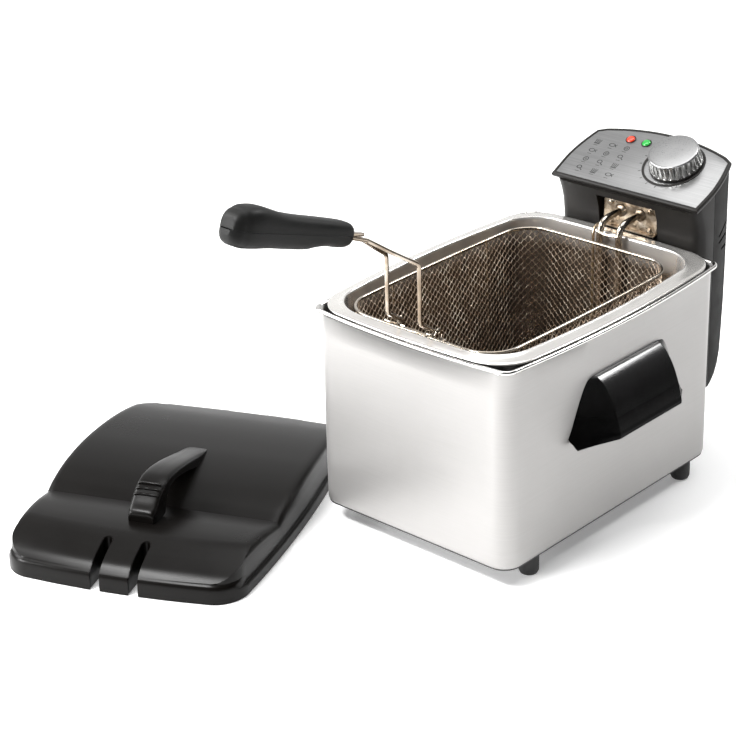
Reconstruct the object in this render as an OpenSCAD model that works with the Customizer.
// Deep fryer with a lift-out oil bowl, a docked control unit with its heating
// element, a wire basket with a fold-in handle, and a lid lying beside it.
// Millimetres. The origin is on the floor, midway between the feet lines:
// +X is the fryer's right, -Y its front and +Z up.

/* [Housing] */
// Width of the steel housing
housing_w = 215; // [205:1:225]
// Depth of the steel housing
housing_d = 300; // [290:1:310]
// Height of the housing's lower edge above the floor
housing_base_z = 19.5; // [16:0.5:24]
// Height of the top of the housing's rolled edge
housing_top_z = 207; // [203:0.5:207]
// Plan radius of the housing's corners
housing_corner_r = 18; // [12:1:24]
// Sheet thickness of the housing
housing_sheet = 1; // [0.8:0.1:1.4]
// How far the rolled edge bows out at the middle of the long sides
rim_bow_x = 9.5; // [4:0.5:10]
// How far the rolled edge bows out at the middle of the front and back
rim_bow_y = 7.5; // [4:0.5:7.5]
// Diameter of each foot
foot_d = 18; // [14:1:22]

/* [Bowl] */
// Inner width of the bowl at its corners
bowl_w = 186; // [180:1:190]
// How far the bowl's long sides bow out at their middle
bowl_bow = 10; // [6:0.5:11]
// Inner depth of the bowl
bowl_d = 280; // [276:1:282]
// Plan radius of the bowl's corners
bowl_corner_r = 37; // [28:1:40]
// Height of the underside of the bowl's floor
bowl_floor_z = 38; // [34:1:44]
// Height of the top of the bowl's flange
bowl_flange_z = 212; // [210:0.5:212.5]
// Sheet thickness of the bowl
bowl_sheet = 0.9; // [0.8:0.1:1.2]

/* [Control unit] */
// Half width of the control panel at its front edge
panel_half_w = 81; // [76:1:84]
// Slope of the control panel
panel_slope = 23.3; // [20:0.1:26]
// Height of the panel's front edge
panel_front_z = 250; // [246:1:254]
// Thickness of the plastic shells
shell_wall = 2.4; // [2:0.1:3]
// Height of the control unit's lower end
unit_base_z = 62; // [58:1:70]
// Diameter of the heating tube
tube_d = 6.5; // [6:0.1:7]
// Distance between the two heating tubes where they enter the bowl
tube_pitch = 21.2; // [20:0.1:24]

/* [Knob] */
// Radius of the knob at its foot
knob_r = 25.5; // [22:0.5:27]
// Height of the knob
knob_h = 16; // [12:1:20]
// Place of the knob across the panel
knob_x = 28.5; // [24:0.5:32]
// Place of the knob up the panel's slope
knob_s = 48; // [44:1:50]

/* [Basket] */
// Width of the basket's rim
basket_w = 171; // [160:1:172]
// Depth of the basket's rim
basket_d = 256; // [250:1:258]
// Height of the middle of the basket's rim wire
basket_rim_z = 208.5; // [204:0.5:209]
// Height of the underside of the basket
basket_floor_z = 74; // [70:1:90]
// Diameter of the rim wire
rim_wire_d = 3.2; // [2.5:0.1:3.6]
// Distance between the two legs of the basket handle
leg_pitch = 35.5; // [34:0.5:38]
// Diameter of the handle's wire
leg_d = 3.8; // [3:0.1:4]

/* [Lid] */
// Turn of the lid where it lies on the floor
lid_turn = 24; // [20:1:28]
// Place of the lid's own origin across the floor
lid_x = -215.8; // [-240:1:-214]
// Place of the lid's own origin along the floor
lid_y = -216; // [-230:1:-210]
// Thickness of the lid's shell
lid_wall = 2.4; // [2:0.1:3]

/* [Hidden] */
$fn = 48;

wall_x = housing_w / 2;
wall_y = housing_d / 2;
lip_t = 3.5;                                  // height of the housing's rolled edge
flange_z = housing_top_z + 0.3;               // underside of the bowl's flange
bowl_y = -4;                                  // middle of the bowl along Y
bowl_in_z = bowl_floor_z + bowl_sheet;
foot_x = wall_x - 12;
foot_front_y = -wall_y + 44;
foot_rear_y = wall_y - 31;
panel_y = 150;                                // front edge of the panel
plate_t = 1.5;
frame_t = 4;
frame_gap = 0.1;
face_y = 160;                                 // front wall of the control unit
split_y = 184;                                // joint between its two shells
rear_side_y = 213;                            // rear corners of the control unit
rear_bow = 13;                                // bow of its rear wall
dock_x = 40;                                  // places of the two dock rails
dock_screw_x = 49;
dock_screw_z = [94, 186];
dock_top_z = 190;
tube_z = 225;                                 // heating tubes where they leave the unit
tube_y = 131.4;                               // their upright legs in the bowl
tube_x = tube_pitch / 2;
bend_r = 17;
coil_z = 52;                                  // heating loops above the bowl's floor
plate_y = 164;                                // front face of the element's flange
basket_y = -12;
basket_wall = 1.6;
pivot_y = -134;                               // hinge line of the basket handle
pivot_z = 213;
leg_x = leg_pitch / 2;
leg_y = -153.5;                               // upright part of the handle's legs
leg_top_z = 279;
neck_y = -199;
grip_rise = 18.7;                             // slope of the grip
neck_z = 322 - 20 * tan(grip_rise);            // in line with the grip
grip_len = 138;
lamp_s = 65.6;
lamp_x = [-34.6, -16.8];

// ---- plan outlines -------------------------------------------------------

// A rectangle with true round corners, centred.
module rounded(w, d, r) {
    square([w - 2 * r, d], center = true);
    square([w, d - 2 * r], center = true);
    for (sx = [-1, 1], sy = [-1, 1]) {
        translate([sx * (w / 2 - r), sy * (d / 2 - r)]) circle(r = r);
    }
}

function bow(t, half, amount) = amount * (1 - pow(t / half, 2));

// One quarter of a rectangle whose sides bow outwards, from +X round to +Y.
function bowed_quarter(hw, hd, bx, by, r) =
    let (ex = bow(hd - r, hd, bx), ey = bow(hw - r, hw, by))
    concat(
        [for (i = [0:4]) let (y = (hd - r) * i / 5) [hw + bow(y, hd, bx), y]],
        [for (a = [0:15:90]) [hw - r + (r + ex) * cos(a), hd - r + (r + ey) * sin(a)]],
        [for (i = [4:-1:1]) let (x = (hw - r) * i / 5) [x, hd + bow(x, hw, by)]]
    );

function turned(points) = [for (p = points) [-p[0], -p[1]]];
function flipped(points) = [for (i = [len(points) - 1:-1:1]) [-points[i][0], points[i][1]]];

module bowed(w, d, bx, by, r) {
    q = bowed_quarter(w / 2, d / 2, bx, by, r);
    top = [0, d / 2 + by];
    half = concat(q, [top], flipped(q));
    polygon(concat(half, turned(half)));
}

module bowed_ring(w, d, bx, by, r, t) {
    difference() {
        bowed(w, d, bx, by, r);
        bowed(w - 2 * t, d - 2 * t, bx, by, max(r - t, 1));
    }
}

module upright(z0, z1) {
    translate([0, 0, z0]) linear_extrude(height = z1 - z0) children();
}

// A screw with a domed-off round head, its head's underside at the origin and its
// shank along -Z.
module screw(head_d, shank_d, length, head_h = 1.6) {
    difference() {
        cylinder(d = head_d, h = head_h);
        translate([0, 0, head_h - 0.7]) cube([head_d * 0.7, 0.9, 2], center = true);
    }
    translate([0, 0, -length]) cylinder(d = shank_d, h = length);
}

// ---- housing -------------------------------------------------------------

module outer_housing() {
    color([0.74, 0.73, 0.71])
    difference() {
        union() {
            upright(housing_base_z, housing_top_z - 0.5)
                rounded(housing_w, housing_d, housing_corner_r);
            upright(housing_top_z - lip_t, housing_top_z)
                bowed(housing_w, housing_d, rim_bow_x, rim_bow_y, 9);
        }
        upright(housing_base_z - 1, housing_top_z + 1)
            rounded(housing_w - 2 * housing_sheet, housing_d - 2 * housing_sheet,
                housing_corner_r - housing_sheet);
        housing_holes();
    }
}

module housing_holes() {
    for (sx = [-1, 1], y = [-14, 30]) {
        translate([sx * wall_x, y, 140]) rotate([0, 90, 0]) cylinder(d = 4.3, h = 8, center = true);
    }
    for (x = [-dock_screw_x, dock_screw_x], z = dock_screw_z) {
        translate([x, wall_y, z]) rotate([90, 0, 0]) cylinder(d = 4.3, h = 8, center = true);
    }
}

module base_plate() {
    rib_h = 6;
    color([0.1, 0.1, 0.1])
    difference() {
        upright(housing_base_z, housing_base_z + rib_h)
            rounded(housing_w - 2 * housing_sheet - 0.2, housing_d - 2 * housing_sheet - 0.2,
                housing_corner_r - housing_sheet - 0.1);
        upright(housing_base_z + 2.5, housing_base_z + rib_h + 1)
            rounded(housing_w - 10, housing_d - 10, housing_corner_r - 5);
        for (sx = [-1, 1], y = [foot_front_y, foot_rear_y]) {
            translate([sx * foot_x, y, 0]) cylinder(d = 4.3, h = 60);
        }
        for (x = [-54, -18, 18, 54], y = [-60, -30, 0, 30, 60]) {
            translate([x, y, housing_base_z]) rounded_slot(22, 4);
        }
    }
}

module rounded_slot(length, width) {
    translate([0, 0, -1]) linear_extrude(height = 12) {
        square([length - width, width], center = true);
        for (s = [-1, 1]) translate([s * (length - width) / 2, 0]) circle(d = width);
    }
}

module foot() {
    color([0.06, 0.06, 0.06])
    difference() {
        union() {
            cylinder(d = foot_d - 3, h = 1.5);
            translate([0, 0, 1.5]) cylinder(d = foot_d, h = housing_base_z - 1.5);
        }
        translate([0, 0, 8]) cylinder(d = 4.1, h = 20);
        translate([0, 0, -1]) cylinder(d = 9, h = 9);
    }
}

module foot_front_left() { translate([-foot_x, foot_front_y, 0]) foot(); }
module foot_front_right() { translate([foot_x, foot_front_y, 0]) foot(); }
module foot_rear_left() { translate([-foot_x, foot_rear_y, 0]) foot(); }
module foot_rear_right() { translate([foot_x, foot_rear_y, 0]) foot(); }

module foot_screws() {
    color([0.7, 0.7, 0.72])
    for (sx = [-1, 1], y = [foot_front_y, foot_rear_y]) {
        translate([sx * foot_x, y, 8]) mirror([0, 0, 1]) screw(8, 4, 16);
    }
}

// Handle cover: thin at its top edge, deep and open below, with slanted ends.
module handle_solid(grow) {
    hull() {
        translate([-1, -41 - grow, 166 + grow]) rotate([0, 90, 0]) slab(98 + 2 * grow, 3, 1.2);
        translate([14 + grow, -38 - grow, 158 + grow]) slab(95 + 2 * grow, 3, 1);
        translate([23 + grow, -36 - grow, 145]) slab(93 + 2 * grow, 3, 1);
        translate([28 + grow, -33 - grow, 128]) slab(91 + 2 * grow, 2, 1);
        translate([29 + grow, -32 - grow, 112]) slab(90 + 2 * grow, 1, 1);
        translate([15, -69 - grow, 110]) slab(156 + 2 * grow, 4, 1);
        translate([-1, -71 - grow, 108]) slab(160 + 2 * grow, 4, 18);
    }
}

// A thin bar along Y that the hull above joins up.
module slab(length, depth, height) {
    translate([-depth, 0, 0]) cube([depth, length, height]);
}

module side_handle() {
    color([0.03, 0.03, 0.03])
    difference() {
        intersection() {
            union() {
                difference() {
                    handle_solid(0);
                    translate([0, 0, -4]) handle_solid(-3);
                }
                for (y = [-14, 30]) {
                    translate([0, y, 140]) rotate([0, 90, 0]) cylinder(d = 9, h = 22);
                }
            }
            translate([0.1, -100, 100]) cube([60, 220, 80]);
        }
        for (y = [-14, 30]) {
            translate([0, y, 140]) rotate([0, 90, 0]) cylinder(d = 3.4, h = 24, center = true);
        }
    }
}

module side_handle_right() { translate([wall_x, 0, 0]) side_handle(); }
module side_handle_left() { mirror([1, 0, 0]) translate([wall_x, 0, 0]) side_handle(); }

module side_handle_screws() {
    color([0.7, 0.7, 0.72])
    for (sx = [-1, 1], y = [-14, 30]) {
        translate([sx * (wall_x - housing_sheet), y, 140]) rotate([0, -sx * 90, 0])
            screw(7, 3.2, 9, 1.4);
    }
}

// Steel back plate with two T-shaped rails that the control unit slides down on.
module control_dock() {
    color([0.6, 0.6, 0.6])
    difference() {
        union() {
            translate([-56, wall_y + 0.1, 84]) cube([112, 1.6, 112]);
            for (x = [-dock_x, dock_x]) {
                translate([x - 3, wall_y + 0.1, 110]) cube([6, 15.5, dock_top_z - 110]);
                translate([x - 6, wall_y + 13.2, 110]) cube([12, 2.6, dock_top_z - 110]);
            }
        }
        for (x = [-dock_screw_x, dock_screw_x], z = dock_screw_z) {
            translate([x, wall_y, z]) rotate([-90, 0, 0]) cylinder(d = 4.1, h = 12);
        }
    }
}

module dock_screws() {
    color([0.7, 0.7, 0.72])
    for (x = [-dock_screw_x, dock_screw_x], z = dock_screw_z) {
        translate([x, wall_y - housing_sheet, z]) rotate([90, 0, 0]) screw(8, 3.9, 7);
    }
}

// ---- bowl ----------------------------------------------------------------

module bowl_outline(grow) {
    translate([0, bowl_y])
        bowed(bowl_w + 2 * grow, bowl_d + 2 * grow, bowl_bow, 2, bowl_corner_r + grow);
}

module oil_bowl() {
    color([0.8, 0.79, 0.77])
    difference() {
        union() {
            upright(bowl_floor_z, bowl_flange_z - 0.4) bowl_outline(bowl_sheet);
            upright(flange_z, flange_z + 1.4) bowed(212, 297, 9, 6.8, 34);
            upright(flange_z, bowl_flange_z) bowl_outline(2.6);
        }
        upright(bowl_in_z, bowl_flange_z + 1) bowl_outline(0);
    }
    color([0.8, 0.79, 0.77])
    for (z = [105, 150], side = [-1, 1]) {
        translate([side * (bowl_w / 2 + bowl_bow - 0.4) - 0.8, -30, z]) cube([1.6, 26, 1.6]);
    }
}

// ---- control unit --------------------------------------------------------

function panel_side(s) = panel_half_w - 7 * pow(s / 70, 2);

module panel_outline(inset) {
    w = panel_half_w - 7;
    side = [for (s = [0:10:70]) [panel_side(s), s]];
    rear = [for (i = [7:-1:-7]) [w * i / 8, 70 + 14.4 * (1 - pow(i / 8, 2))]];
    back = [for (i = [7:-1:0]) [-side[i][0], side[i][1]]];
    scale_x = (panel_half_w - inset) / panel_half_w;
    translate([0, 42 * (1 - scale_x)]) scale([scale_x, scale_x])
        polygon(concat(side, rear, back));
}

// Places its children on the sloping panel: x across, s up the slope, n above it.
module on_panel(x, s, n) {
    translate([0, panel_y, panel_front_z]) rotate([panel_slope, 0, 0])
        translate([x, s, n]) children();
}

module unit_plan(inset) {
    w = panel_half_w - 1.5 - inset;
    y0 = face_y + inset;
    y1 = rear_side_y - inset;
    r = 11 - inset / 2;
    front = [for (a = [-90:15:0]) [w - r + r * cos(a), y0 + r + r * sin(a)]];
    side = [for (i = [1:4]) let (y = y0 + r + (y1 - y0 - r) * i / 4) [w - 7 * pow(i / 4, 2), y]];
    rear = [for (i = [5:-1:0]) [(w - 7) * i / 6, y1 + rear_bow * (1 - pow(i / 6, 2))]];
    half = concat(front, side, rear);
    polygon(concat(half, [for (i = [len(half) - 2:-1:0]) [-half[i][0], half[i][1]]]));
}

// Side view of the unit: flat underside, rounded lower back, sloping top.
module unit_side(inset, drop) {
    slope = tan(panel_slope);
    top = function (y) panel_front_z - drop + (y - panel_y) * slope;
    lower_z = unit_base_z + inset;
    rotate([90, 0, 90]) translate([0, 0, -100]) linear_extrude(height = 200)
        polygon([
            [148, lower_z], [186, lower_z], [200 - inset, lower_z + 6], [210 - inset, lower_z + 17],
            [217 - inset, lower_z + 33], [222 - inset, lower_z + 58], [226 - inset, lower_z + 108],
            [229 - inset, 260], [229 - inset, top(229 - inset)], [148, top(148)]
        ]);
}

module unit_body(inset, drop) {
    intersection() {
        upright(40, 300) unit_plan(inset);
        unit_side(inset, drop);
    }
}

// The lip that sweeps forward from the front wall up to the panel's front edge.
module front_lip() {
    slope = tan(panel_slope);
    intersection() {
        rotate([90, 0, 90]) translate([0, 0, -79.5]) linear_extrude(height = 159)
            polygon([
                [face_y + 2, 214], [face_y, 214], [158.5, 226], [155.5, 236], [151, 243.6],
                [151, panel_front_z - 6.1 + slope], [face_y + 2, panel_front_z - 6.1 + 12 * slope]
            ]);
        translate([-100, 140, 200]) cube([200, 40, 80]);
    }
}

module tube_holes(d) {
    for (x = [-tube_x, tube_x]) {
        translate([x, 150, tube_z]) rotate([-90, 0, 0]) cylinder(d = d, h = 30);
    }
}

module control_front_shell() {
    color([0.07, 0.07, 0.07])
    difference() {
        union() {
            difference() {
                unit_body(0, 6);
                difference() {
                    unit_body(shell_wall, 8.4);
                    translate([-36, 150, 200]) cube([72, 19, 42]);
                }
            }
            front_lip();
        }
        translate([-100, split_y, 0]) cube([200, 100, 400]);
        translate([-33, 140, 204]) cube([66, plate_y + 2.2 - 140, 34]);
        translate([0, 0, 0]) tube_holes(tube_d + 1);
        translate([-16 - 2.2, 150, 217]) rotate([-90, 0, 0]) cylinder(d = 4.6, h = 30);
        for (x = [-dock_x, dock_x]) {
            translate([x - 3.5, 150, 50]) cube([7, 18, dock_top_z + 0.5 - 50]);
            translate([x - 6.5, 150, 50]) cube([13, 18, 18]);
        }
        for (x = [-22, 22], z = [211, 231]) {
            translate([x, 150, z]) rotate([-90, 0, 0]) cylinder(d = 3, h = 30);
        }
        panel_bores(0.3, -12);
    }
}

// Bores for the spindle and the lamps, square to the panel.
module panel_bores(clear, depth) {
    on_panel(knob_x, knob_s, depth) cylinder(d = 6.2 + 2 * clear, h = 30);
    for (x = lamp_x) {
        on_panel(x, lamp_s, depth) cylinder(d = 9 + 2 * clear, h = 30);
    }
}

module control_rear_shell() {
    color([0.17, 0.17, 0.17])
    difference() {
        unit_body(0, 6);
        difference() {
            unit_body(shell_wall, 8.4);
            screw_posts(9);
        }
        translate([-100, 0, 0]) cube([200, split_y + 0.1, 400]);
        for (sx = [-1, 1], i = [0:2]) {
            translate([sx * 77, 203, 214 - 8 * i]) rotate([27 - 10 * i, 0, 0])
                cube([16, 17, 2.2], center = true);
        }
        for (i = [0:4]) {
            translate([0, 222, 200 - 9 * i]) cube([60, 20, 2.6], center = true);
        }
        translate([0, 214, 84]) rotate([-60, 0, 0]) {
            cylinder(d = 12.2, h = 30, center = true);
            translate([0, 0, 3]) cylinder(d = 16.6, h = 8);
            translate([0, 0, -12]) cylinder(d = 15.6, h = 5.2);
        }
        translate([-30, 200, 120]) rotate([-90, 0, 0]) cylinder(d = 7.8, h = 40);
        screw_posts(3.4);
        for (x = [-62, 62]) {
            translate([x, 216.5, 232]) rotate([-90, 0, 0]) cylinder(d = 6.4, h = 10);
            translate([x, 214.5, 100]) rotate([-90, 0, 0]) cylinder(d = 6.4, h = 10);
        }
        panel_bores(0.3, -12);
    }
}

module screw_posts(d) {
    for (x = [-62, 62], z = [100, 232]) {
        translate([x, split_y - 2, z]) rotate([-90, 0, 0]) cylinder(d = d, h = 60);
    }
}

module shell_screws() {
    color([0.5, 0.5, 0.5])
    for (x = [-62, 62]) {
        translate([x, 216.6, 232]) rotate([-90, 0, 0]) screw(5.6, 3, 28);
        translate([x, 214.6, 100]) rotate([-90, 0, 0]) screw(5.6, 3, 28);
    }
}

module panel_frame() {
    color([0.05, 0.05, 0.05])
    difference() {
        on_panel(0, -1, -plate_t - frame_t) linear_extrude(height = frame_t) panel_outline(-1.2);
        on_panel(0, 0.6, -plate_t - 1.6) linear_extrude(height = 4) panel_outline(2.2);
        panel_bores(0.2, -12);
    }
    color([0.05, 0.05, 0.05])
    difference() {
        on_panel(0, -1, -plate_t) linear_extrude(height = 1) panel_outline(-1.2);
        on_panel(0, 0.5, -plate_t - 1) linear_extrude(height = 4) panel_outline(0.9);
    }
}

module panel_plate() {
    color([0.76, 0.76, 0.76])
    difference() {
        on_panel(0, 0.6, -plate_t) linear_extrude(height = plate_t) panel_outline(1.1);
        panel_bores(0.1, -12);
    }
    color([0.76, 0.76, 0.76])
    difference() {
        on_panel(0, 0.6, -plate_t - 1.5) linear_extrude(height = 1.5) panel_outline(2.4);
        panel_bores(0.1, -12);
    }
}

module knob_ring() {
    color([0.04, 0.04, 0.04])
    on_panel(knob_x - 2.5, knob_s - 1, 0.02) difference() {
        cylinder(r = 29.5, h = 0.8);
        translate([0, 0, -1]) cylinder(r = 28, h = 3);
    }
}

module lamp_lens(x, tint) {
    color(tint)
    on_panel(x, lamp_s, -7) union() {
        cylinder(d = 9, h = 8.2);
        translate([0, 0, 8.2]) cylinder(d1 = 9, d2 = 6.5, h = 0.8);
    }
}

module red_lamp_lens() { lamp_lens(lamp_x[0], [0.8, 0.12, 0.05]); }
module green_lamp_lens() { lamp_lens(lamp_x[1], [0.1, 0.65, 0.15]); }

module neon_lamps() {
    color([0.9, 0.75, 0.6])
    for (x = lamp_x) {
        on_panel(x, lamp_s, -17) cylinder(d = 5, h = 9.9);
    }
}

module thermostat_body() {
    color([0.85, 0.83, 0.78])
    on_panel(knob_x, knob_s, -27.9) difference() {
        translate([-16, -14, 0]) cube([32, 28, 20]);
        translate([0, 0, 7]) cylinder(d = 6.1, h = 20);
    }
}

// Thin tube with the oil-temperature bulb clipped beside the element.
module thermostat_sensor() {
    x = -tube_x - 7.6;
    color([0.75, 0.6, 0.42]) {
        translate([x, tube_y + 8, 217]) rotate([-90, 0, 0]) cylinder(d = 3, h = 50);
        translate([x, tube_y + 8, 209]) yz_bend(8, 3, 90);
        translate([x, tube_y, 130]) cylinder(d = 3, h = 79);
        translate([x, tube_y, 70]) cylinder(d = 5, h = 62);
    }
}

// A quarter bend of round tube in the YZ plane, starting at the given angle from +Y.
module yz_bend(r, d, start) {
    rotate([90, 0, 90]) rotate([0, 0, start]) rotate_extrude(angle = 90, $fn = 64)
        translate([r, 0]) circle(d = d, $fn = 32);
}

module sensor_clip() {
    x = -tube_x - 7.6;
    color([0.7, 0.7, 0.7])
    difference() {
        translate([x - 4, tube_y - 4.6, 96]) cube([9.6 + tube_d / 2 + 6, 9.2, 8]);
        translate([x, tube_y, 90]) cylinder(d = 5.04, h = 30);
        translate([-tube_x, tube_y, 90]) cylinder(d = tube_d + 0.04, h = 30);
    }
}

module thermal_cutout() {
    color([0.2, 0.2, 0.22])
    translate([-30, 0, 120]) rotate([-90, 0, 0]) difference() {
        union() {
            translate([0, 0, 200]) cylinder(d = 17, h = 16);
            translate([-12, -3, 206]) cube([24, 6, 3]);
            for (sx = [-1, 1]) translate([sx * 12, 0, 206]) cylinder(d = 6, h = 12);
        }
        translate([0, 0, 209]) cylinder(d = 5.1, h = 20);
    }
}

module reset_button() {
    color([0.75, 0.1, 0.08])
    translate([-30, 0, 120]) rotate([-90, 0, 0]) union() {
        translate([0, 0, 212]) cylinder(d = 5, h = 8);
        translate([0, 0, 218.8]) cylinder(d = 7.6, h = 3.6);
    }
}

module safety_switch() {
    color([0.12, 0.12, 0.14])
    translate([-10, face_y + shell_wall + 0.2, 68]) cube([20, 10, 12]);
}

module terminal_block() {
    color([0.9, 0.88, 0.82])
    difference() {
        translate([8, 201, 112]) cube([40, 16, 14]);
        for (i = [0:2]) {
            translate([15 + 13 * i, 190, 119]) rotate([-90, 0, 0]) cylinder(d = 4, h = 40);
        }
    }
}

module cord_gland() {
    color([0.03, 0.03, 0.03])
    translate([0, 214, 84]) rotate([-60, 0, 0]) difference() {
        union() {
            translate([0, 0, -9]) cylinder(d = 12, h = 14);
            translate([0, 0, 3.2]) cylinder(d = 16, h = 3);
            translate([0, 0, -10]) cylinder(d = 15, h = 3);
        }
        translate([0, 0, -20]) cylinder(d = 7, h = 40);
    }
}

// ---- element -------------------------------------------------------------

module element_flange() {
    color([0.62, 0.55, 0.45])
    difference() {
        union() {
            translate([-30, plate_y, 207.5]) cube([60, 2, 27.5]);
            translate([-30, plate_y - 5, 206]) cube([60, 7, 1.6]);
        }
        tube_holes(tube_d + 0.06);
        translate([-16 - 2.2, 150, 217]) rotate([-90, 0, 0]) cylinder(d = 3.06, h = 30);
        for (x = [-22, 22], z = [211, 231]) {
            translate([x, 150, z]) rotate([-90, 0, 0]) cylinder(d = 3.3, h = 30);
        }
    }
}

module flange_screws() {
    color([0.6, 0.55, 0.48])
    for (x = [-22, 22], z = [211, 231]) {
        translate([x, plate_y - 0.02, z]) rotate([90, 0, 0]) screw(6, 2.9, 7, 1.5);
    }
}

module tube_run(length) { cylinder(d = tube_d, h = length); }

module tube_arc(r, start, sweep) {
    rotate([0, 0, start]) rotate_extrude(angle = sweep, $fn = 64)
        translate([r, 0]) circle(d = tube_d, $fn = 32);
}

// Half of the one bent tube: out of the unit, down the bowl's rear wall, along the
// floor to the front and back along the middle, where it meets its mirror image.
module element_half() {
    outer_x = 52;
    inner_x = 17;
    floor_front = -108;
    floor_rear = 84;
    turn_r = (outer_x - inner_x) / 2;
    translate([tube_x, tube_y + bend_r, tube_z]) rotate([-90, 0, 0])
        tube_run(186 - tube_y - bend_r);
    translate([tube_x, tube_y + bend_r, tube_z - bend_r]) yz_bend(bend_r, tube_d, 90);
    translate([tube_x, tube_y, coil_z + bend_r]) tube_run(tube_z - bend_r * 2 - coil_z);
    translate([tube_x + bend_r, tube_y, coil_z + bend_r]) rotate([90, 0, 0])
        tube_arc(bend_r, 180, 90);
    translate([tube_x + bend_r, tube_y, coil_z]) rotate([0, 90, 0])
        tube_run(outer_x - tube_x - bend_r * 2);
    translate([outer_x - bend_r, tube_y - bend_r, coil_z]) tube_arc(bend_r, 0, 90);
    translate([outer_x, floor_front, coil_z]) rotate([-90, 0, 0])
        tube_run(tube_y - bend_r - floor_front);
    translate([outer_x - turn_r, floor_front, coil_z]) tube_arc(turn_r, 180, 180);
    translate([inner_x, floor_front, coil_z]) rotate([-90, 0, 0])
        tube_run(floor_rear - floor_front);
    translate([0, floor_rear, coil_z]) tube_arc(inner_x, 0, 90);
}

module heating_element() {
    color([0.5, 0.47, 0.43]) {
        element_half();
        mirror([1, 0, 0]) element_half();
    }
}

// ---- knob ----------------------------------------------------------------

module knob() {
    color([0.8, 0.8, 0.8])
    on_panel(knob_x, knob_s, 1) difference() {
        union() {
            cylinder(r = knob_r, h = 2);
            translate([0, 0, 2]) difference() {
                cylinder(r = knob_r - 0.6, h = knob_h - 4);
                for (a = [0:10:350]) {
                    rotate([0, 0, a]) translate([knob_r + 0.2, 0, -1]) cylinder(d = 2.6, h = 40);
                }
            }
            translate([0, 0, knob_h - 2]) cylinder(r = knob_r - 2, h = 2);
        }
        translate([0, 0, -1]) cylinder(d = 6.04, h = 10);
    }
}

module knob_spindle() {
    color([0.7, 0.7, 0.7])
    on_panel(knob_x, knob_s, -20) cylinder(d = 6, h = 29);
}

// ---- basket --------------------------------------------------------------

module basket_outline(grow) {
    translate([0, basket_y])
        bowed(basket_w + 2 * grow, basket_d + 2 * grow, 2.5, 1, 32 + grow);
}

module basket_mesh() {
    color([0.45, 0.4, 0.34])
    difference() {
        upright(basket_floor_z, basket_rim_z - rim_wire_d / 2) basket_outline(-0.6);
        upright(basket_floor_z + basket_wall, basket_rim_z + 1) basket_outline(-0.6 - basket_wall);
    }
}

module basket_rim_wire() {
    color([0.78, 0.74, 0.68])
    upright(basket_rim_z - rim_wire_d / 2, basket_rim_z + rim_wire_d / 2) difference() {
        basket_outline(0.4);
        basket_outline(0.4 - rim_wire_d);
    }
}

// Two hoops under the mesh and one round its foot.
module basket_frame_wires() {
    d = 2.5;
    color([0.7, 0.66, 0.6])
    for (y = [-70, 60]) {
        translate([-basket_w / 2 + 6, y, basket_floor_z - d / 2]) rotate([0, 90, 0])
            cylinder(d = d, h = basket_w - 12);
    }
}

// Plate in front of the rim wire, with two ears that carry the handle's hinge.
module basket_bracket() {
    front_y = pivot_y - 4.1;
    ear_x = leg_x + leg_d / 2 + 0.6;
    color([0.75, 0.72, 0.66])
    difference() {
        union() {
            translate([-ear_x - 2, front_y, 194]) cube([2 * ear_x + 4, 1.2, 15]);
            for (sx = [-1, 1]) {
                translate([sx * (ear_x + 1) - 1, front_y, 202]) cube([2, 7.1, 7]);
                translate([sx * (ear_x + 1) - 1, pivot_y - 3, 207]) cube([2, 6, 6]);
                translate([sx * (ear_x + 1) - 1, pivot_y, pivot_z]) rotate([0, 90, 0])
                    cylinder(d = 6, h = 2);
            }
        }
        translate([-ear_x - 5, pivot_y, pivot_z]) rotate([0, 90, 0])
            cylinder(d = leg_d + 0.1, h = 2 * ear_x + 10);
        for (x = [-12, 12]) {
            translate([x, -145, 199]) rotate([-90, 0, 0]) cylinder(d = 3.3, h = 30);
        }
    }
}

module bracket_rivets() {
    color([0.7, 0.68, 0.62])
    for (x = [-12, 12]) {
        translate([x, pivot_y - 2.9, 199]) rotate([-90, 0, 0]) union() {
            cylinder(d = 6, h = 1.2);
            translate([0, 0, -1.7]) cylinder(d = 3.2, h = 1.7);
        }
    }
}

// ---- basket handle -------------------------------------------------------

// A round rod from one point to another.
module rod(from, to, d) {
    v = to - from;
    length = norm(v);
    translate(from) rotate([0, acos(v[2] / length), atan2(v[1], v[0])])
        cylinder(d = d, h = length);
}

function unit(v) = v / norm(v);

// How far a bend of this radius starts before its corner.
function setback(a, b, c, r) =
    let (inner = acos(unit(a - b) * unit(c - b)))
    r / tan(inner / 2);

// A round bend in a wire at corner b, coming from a and going to c.
module wire_bend(a, b, c, r, d) {
    back = unit(a - b);
    ahead = unit(c - b);
    inner = acos(back * ahead);
    start = b + back * r / tan(inner / 2);
    axis = unit(cross(-back, ahead));
    inward = cross(axis, -back);
    centre = start + inward * r;
    u = -inward;
    v = -back;
    multmatrix([
        [u[0], v[0], axis[0], centre[0]],
        [u[1], v[1], axis[1], centre[1]],
        [u[2], v[2], axis[2], centre[2]],
        [0, 0, 0, 1]
    ])
        rotate_extrude(angle = 180 - inner) translate([r, 0]) circle(d = d + 0.08);
}

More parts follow.
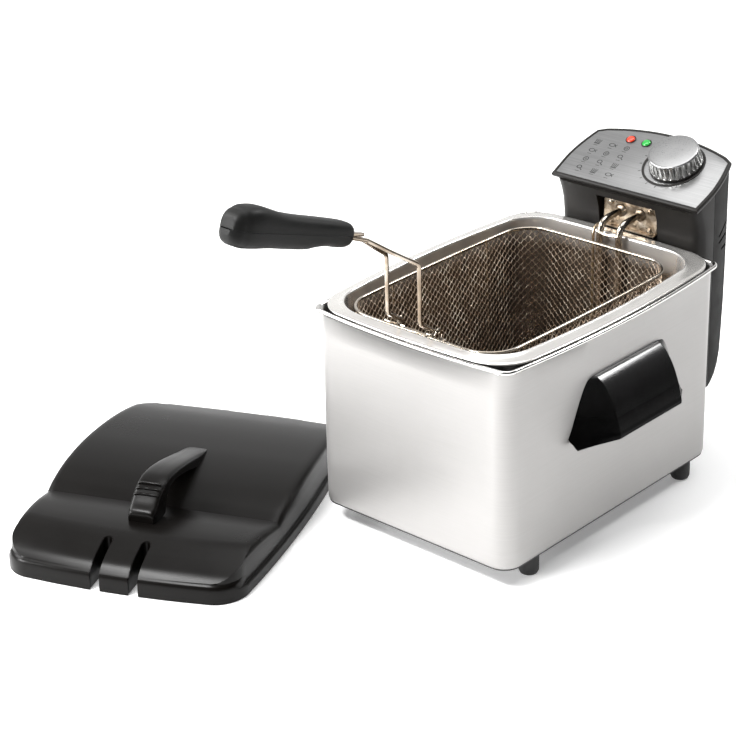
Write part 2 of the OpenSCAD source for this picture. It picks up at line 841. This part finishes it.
// One leg of the fork: a hooked end, a crank, an upright and a run to the grip.
module fork_leg(sx) {
    p = [
        [sx * (leg_x + 6), pivot_y, pivot_z], [sx * leg_x, pivot_y, pivot_z],
        [sx * leg_x, leg_y, 226], [sx * leg_x, leg_y, leg_top_z],
        [sx * 3.2, neck_y, neck_z], [sx * 3.2, -219, 322]
    ];
    r = [2.4, 6, 6, 10];
    t = [0, setback(p[0], p[1], p[2], r[0]), setback(p[1], p[2], p[3], r[1]),
        setback(p[2], p[3], p[4], r[2]), setback(p[3], p[4], p[5], r[3]), 0];
    for (i = [0:4]) {
        way = unit(p[i + 1] - p[i]);
        run = i == 0 ? 0 : 0.25;
        end = i == 4 ? 0 : 0.25;
        rod(p[i] + way * (t[i] - run), p[i + 1] - way * (t[i + 1] - end), leg_d);
    }
    for (i = [1:4]) {
        wire_bend(p[i - 1], p[i], p[i + 1], r[i - 1], leg_d);
    }
}

module handle_fork() {
    color([0.55, 0.5, 0.44]) {
        fork_leg(-1);
        fork_leg(1);
        on_grip() translate([0, -1, 0]) cube([11, 34, 3], center = true);
    }
}

// Places its children in the grip's own frame: -Y along the grip, away from the fork.
module on_grip() {
    translate([0, -219, 322]) rotate([-grip_rise, 0, 0]) children();
}

// Side view of the grip, from its fork end at y = 0 to its swollen far end.
module grip_side(part) {
    upper = [
        [0, 0.1], [0, 8], [-4, 11], [-40, 12.5], [-75, 14], [-104, 18.5], [-122, 18.5],
        [-133, 14], [-136, 8], [-137, 0.1]
    ];
    lower = [
        [0, -0.1], [0, -8], [-5, -11], [-30, -10.5], [-55, -14], [-90, -13.5], [-122, -15],
        [-134, -13.5], [-138, -8], [-137, -0.1]
    ];
    polygon(part > 0 ? upper : lower);
}

module grip_half(part) {
    color([0.05, 0.05, 0.05])
    on_grip() intersection() {
        difference() {
            rotate([90, 0, 90]) translate([0, 0, -14]) linear_extrude(height = 28) grip_side(part);
            translate([-6, -22, -2.1]) cube([12, 60, 4.2]);
            translate([-6, -10, -4.5]) cube([12, 20, 9]);
            for (y = [-34, -104]) {
                translate([0, y, -40]) cylinder(d = 3.4, h = 80);
                if (part < 0) translate([0, y, -40]) cylinder(d = 6.4, h = 31);
            }
        }
        linear_extrude(height = 60, center = true) grip_plan();
    }
}

// Plan of the grip: narrow at the fork, full in the palm.
module grip_plan() {
    right = [[9, 0], [12, -6], [12.5, -50], [14, -90], [14, -120], [11, -133], [6, -138.5]];
    polygon(concat(right, [for (i = [6:-1:0]) [-right[i][0], right[i][1]]]));
}

module handle_grip_upper() { grip_half(1); }
module handle_grip_lower() { grip_half(-1); }

module handle_screws() {
    color([0.6, 0.6, 0.6])
    on_grip() for (y = [-34, -104]) {
        translate([0, y, -9]) mirror([0, 0, 1]) screw(6, 3, 17, 1.8);
    }
}

// ---- lid -----------------------------------------------------------------

module lid_place() {
    translate([lid_x, lid_y, 0]) rotate([0, 0, lid_turn]) children();
}

// Side view of the lid's top: skirt, rolled front, hump, valley and long dome.
function lid_top(inset) = [
    [-157 + inset, 0], [-157 + inset, 14 - inset / 2], [-150 + inset, 21 - inset],
    [-130, 29 - inset], [-112, 34 - inset], [-97, 35.3 - inset], [-78, 34.2 - inset],
    [-62, 31.5 - inset], [-50, 29 - inset], [-36, 34.2 - inset], [-16, 38.8 - inset],
    [7, 41.2 - inset], [30, 42 - inset], [52, 41.4 - inset], [75, 40 - inset],
    [97, 37.7 - inset], [120, 34 - inset], [143, 28.5 - inset], [150 - inset, 26 - inset],
    [150 - inset, 0]
];

module lid_body(inset) {
    intersection() {
        rotate([90, 0, 90]) translate([0, 0, -125]) linear_extrude(height = 250)
            polygon(concat([[-157 + inset, -5]], lid_top(inset), [[150 - inset, -5]]));
        union() {
            translate([0, -3.5, -6])
                linear_extrude(height = 18) bowed(217 - 2 * inset, 307 - 2 * inset, 9, 4, 24);
            translate([0, -3.5, 0])
                linear_extrude(height = 24) bowed(211 - 2 * inset, 303 - 2 * inset, 9, 4, 24);
            translate([0, -3.5, 0])
                linear_extrude(height = 60) bowed(204 - 2 * inset, 300 - 2 * inset, 9, 4, 24);
        }
    }
}

module lid_shell() {
    slot_w = 9;
    color([0.04, 0.04, 0.04])
    lid_place() difference() {
        intersection() {
            lid_body(0);
            translate([-200, -200, 0]) cube([400, 400, 100]);
        }
        lid_body(lid_wall);
        for (x = [-leg_x, leg_x]) {
            translate([x - slot_w / 2, -170, -1]) cube([slot_w, 49, 60]);
        }
        for (y = [-76, 20]) {
            translate([0, y, 20]) cylinder(d = 4.4, h = 40);
        }
        translate([-16, 145, -1]) cube([32, 20, 60]);
    }
    color([0.04, 0.04, 0.04])
    lid_place() for (y = [-76, 20]) {
        translate([0, y, lid_top(0)[6][1] - 10]) lid_post(y);
    }
}

module lid_post(y) {
    h = y < 0 ? 7.8 : 15;
    difference() {
        cylinder(d = 9, h = h);
        translate([0, 0, -1]) cylinder(d = 4.4, h = 40);
    }
}

// Arched handle: a front foot with three ribs, and a long run down to the dome.
module lid_handle() {
    grip = [
        [-94.5, 35.5], [-94.5, 45], [-88, 48], [-79, 55], [-71, 60.5], [-62, 63], [-50, 63.3],
        [-35, 61.3], [-12.5, 56.2], [10, 50], [38, 42.2], [38, 41.9], [8, 41.4], [4, 42],
        [-14, 48], [-36, 53.5], [-54, 54.8], [-66, 51], [-70, 44], [-70, 34.2]
    ];
    color([0.04, 0.04, 0.04])
    lid_place() difference() {
        rotate([90, 0, 90]) translate([0, 0, -13]) linear_extrude(height = 26) polygon(grip);
        translate([-14, -110, 20]) cube([28, 60, 15.4]);
        for (y = [-76, 20]) {
            translate([0, y, 20]) cylinder(d = 3.4, h = 26);
        }
        intersection() {
            lid_body(0);
            translate([-60, -120, 0]) cube([120, 170, 60]);
        }
    }
}

module lid_handle_screws() {
    color([0.6, 0.6, 0.6])
    lid_place() {
        translate([0, -76, 24]) mirror([0, 0, 1]) screw(7, 3.2, 19);
        translate([0, 20, 24]) mirror([0, 0, 1]) screw(7, 3.2, 20.5);
    }
}

outer_housing();
base_plate();
foot_front_left();
foot_front_right();
foot_rear_left();
foot_rear_right();
foot_screws();
side_handle_left();
side_handle_right();
side_handle_screws();
control_dock();
dock_screws();
oil_bowl();
control_front_shell();
control_rear_shell();
shell_screws();
panel_frame();
panel_plate();
knob_ring();
red_lamp_lens();
green_lamp_lens();
neon_lamps();
thermostat_body();
thermostat_sensor();
sensor_clip();
thermal_cutout();
safety_switch();
terminal_block();
cord_gland();
element_flange();
flange_screws();
heating_element();
knob();
knob_spindle();
reset_button();
basket_mesh();
basket_rim_wire();
basket_frame_wires();
basket_bracket();
bracket_rivets();
handle_fork();
handle_grip_upper();
handle_grip_lower();
handle_screws();
lid_shell();
lid_handle();
lid_handle_screws();
